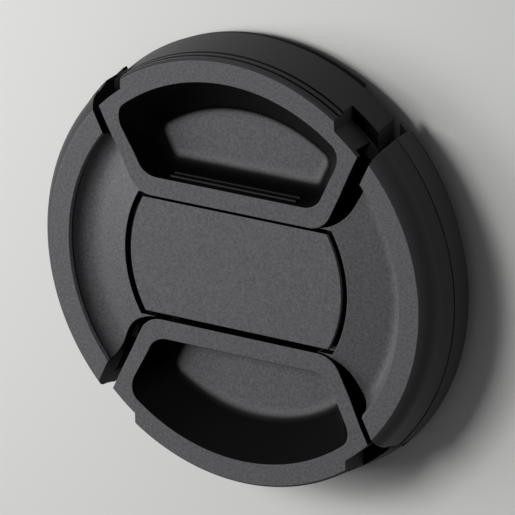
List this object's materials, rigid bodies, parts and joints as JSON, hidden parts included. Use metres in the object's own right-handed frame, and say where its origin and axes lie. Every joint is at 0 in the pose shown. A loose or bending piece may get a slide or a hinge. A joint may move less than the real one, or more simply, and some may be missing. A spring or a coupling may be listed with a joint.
{
  "type": "camera lens cap",
  "caption": "Round black centre-pinch snap cap that covers the front of a lens, with two spring-loaded finger grips that draw in its claws.",
  "frame": {"origin": "centre of the cap on the plane that its rear rim rests on", "axes": "+Z out of the cap's front face, +Y towards the upper grip, +X to the right as seen from the front"},
  "size_m": [0.064, 0.0626, 0.0112],
  "materials": {
    "body_plastic": "fine spark-eroded texture, black",
    "plate_plastic": "fine spark-eroded texture, black",
    "grip_plastic": "fine texture on the rim, smooth in the pockets, black",
    "spring_steel": "bright spring wire"
  },
  "bodies": {
    "cap_body": {"cap_body": "body_plastic", "centre_plate": "plate_plastic", "left_spring": "spring_steel", "right_spring": "spring_steel"},
    "upper_grip": {"upper_grip": "grip_plastic"},
    "lower_grip": {"lower_grip": "grip_plastic"}
  },
  "joints": [
    {"name": "upper_grip_slide", "type": "slide", "parent": "cap_body", "child": "upper_grip", "axis": [0, -1, 0], "range_m": [0, 0.0015], "stiffness_N_per_m": 600, "springref_m": -0.005, "deforming": ["left_spring", "right_spring"]},
    {"name": "lower_grip_slide", "type": "slide", "parent": "cap_body", "child": "lower_grip", "axis": [0, 1, 0], "range_m": [0, 0.0015], "stiffness_N_per_m": 600, "springref_m": -0.005, "deforming": ["left_spring", "right_spring"]}
  ]
}
